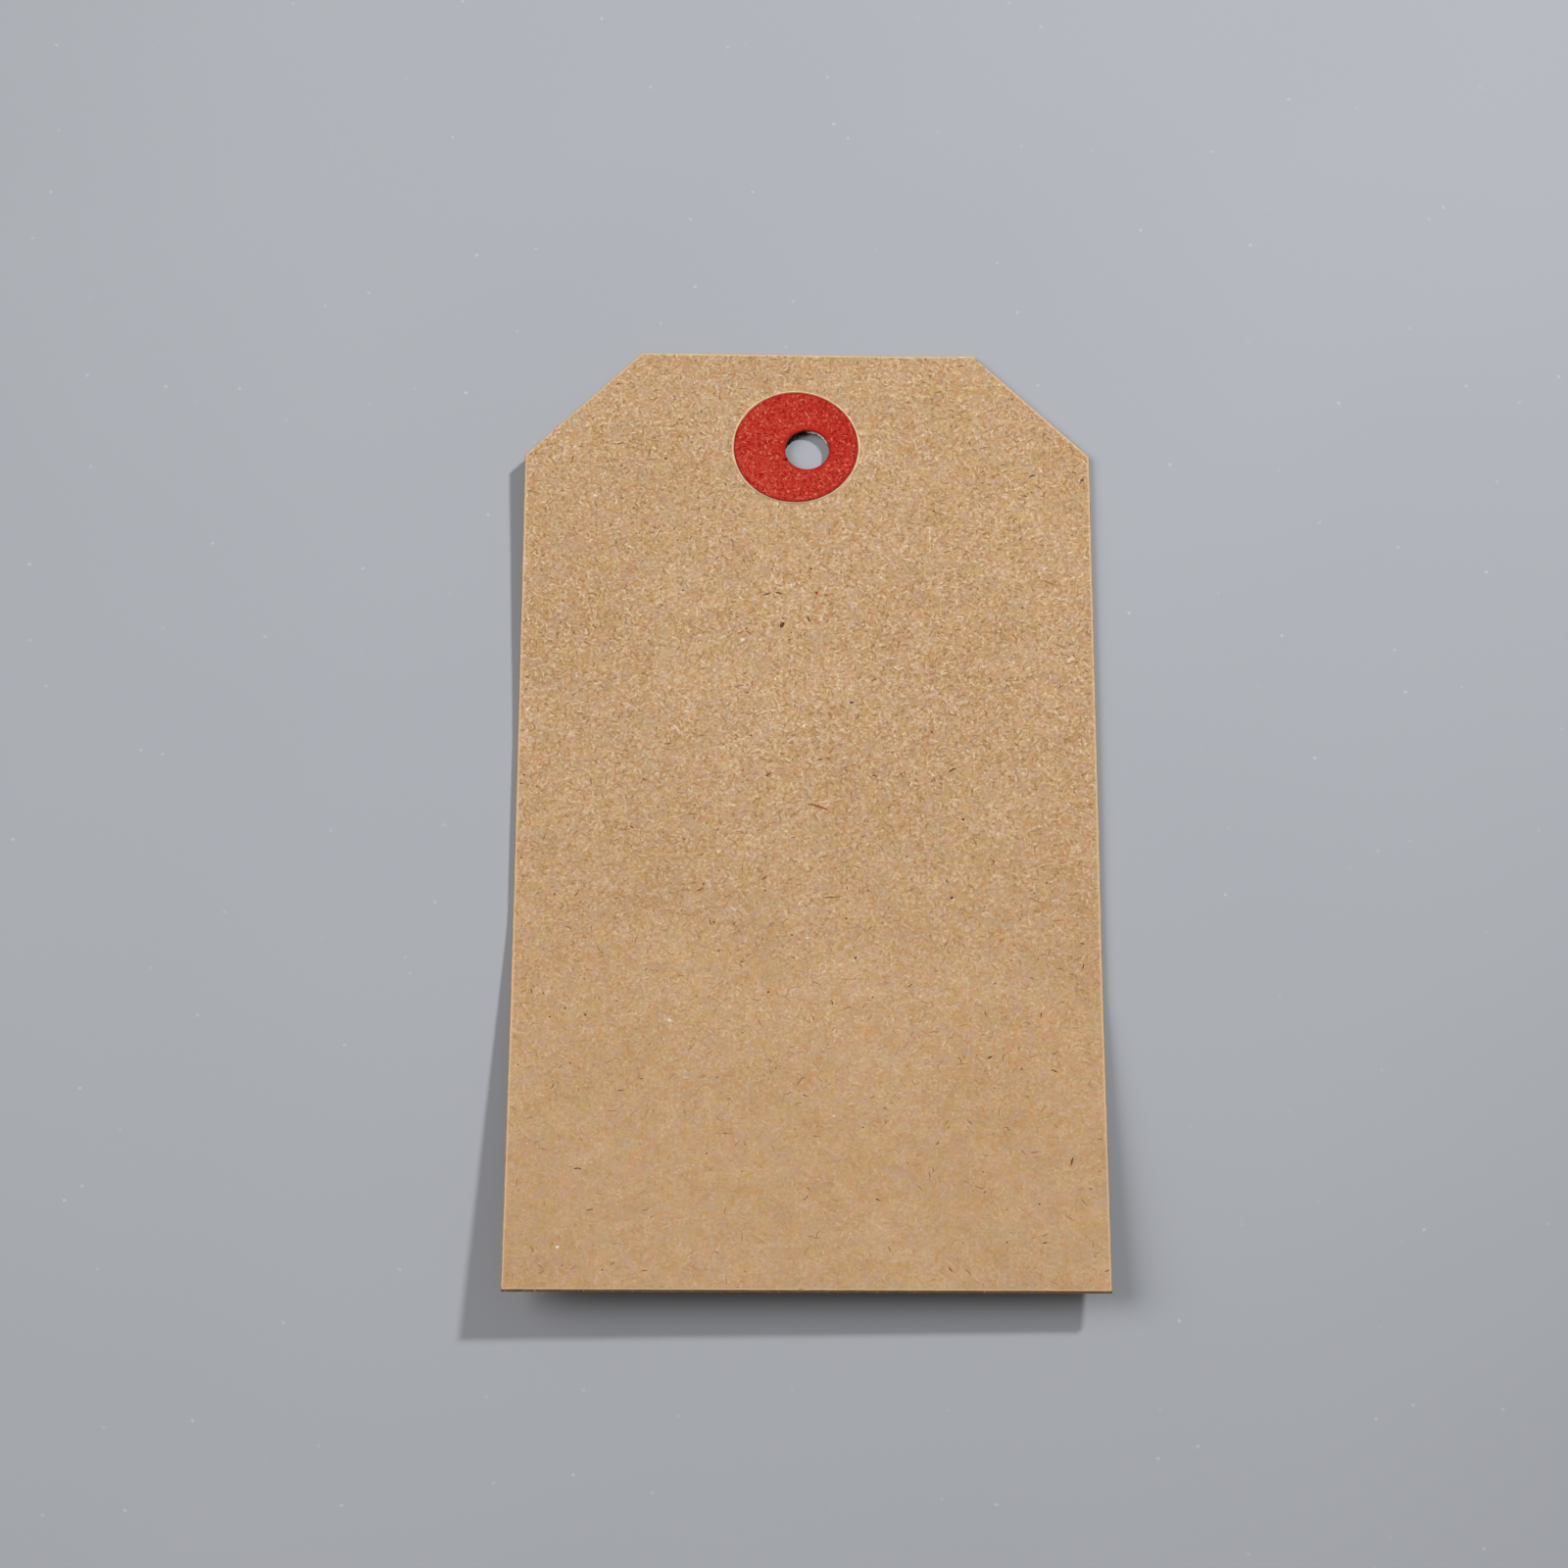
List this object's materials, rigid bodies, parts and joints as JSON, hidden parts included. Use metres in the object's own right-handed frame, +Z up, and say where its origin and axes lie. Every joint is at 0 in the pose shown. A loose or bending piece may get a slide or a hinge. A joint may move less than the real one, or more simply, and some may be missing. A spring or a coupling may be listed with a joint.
{
  "type": "kraft paper tag",
  "caption": "Rectangular kraft board tag with clipped corners and a punched string hole, reinforced on its front by a round red paper patch.",
  "frame": {"origin": "under the centre of the tag's plan outline, on the surface that the tag lies on", "axes": "+Y along the length, towards the punched and clipped end; +X across; +Z up, out of the front face"},
  "size_m": [0.05, 0.09, 0.0033],
  "materials": {
    "kraft_board": "uncoated unbleached kraft board, matt, with loose fibres and dark flecks",
    "red_paper": "red dyed paper, matt, with lighter fibres",
    "dried_gum": "thin dried adhesive film"
  },
  "bodies": {
    "root": {"tag_card": "kraft_board", "front_patch": "red_paper", "front_patch_gum": "dried_gum"}
  },
  "joints": []
}
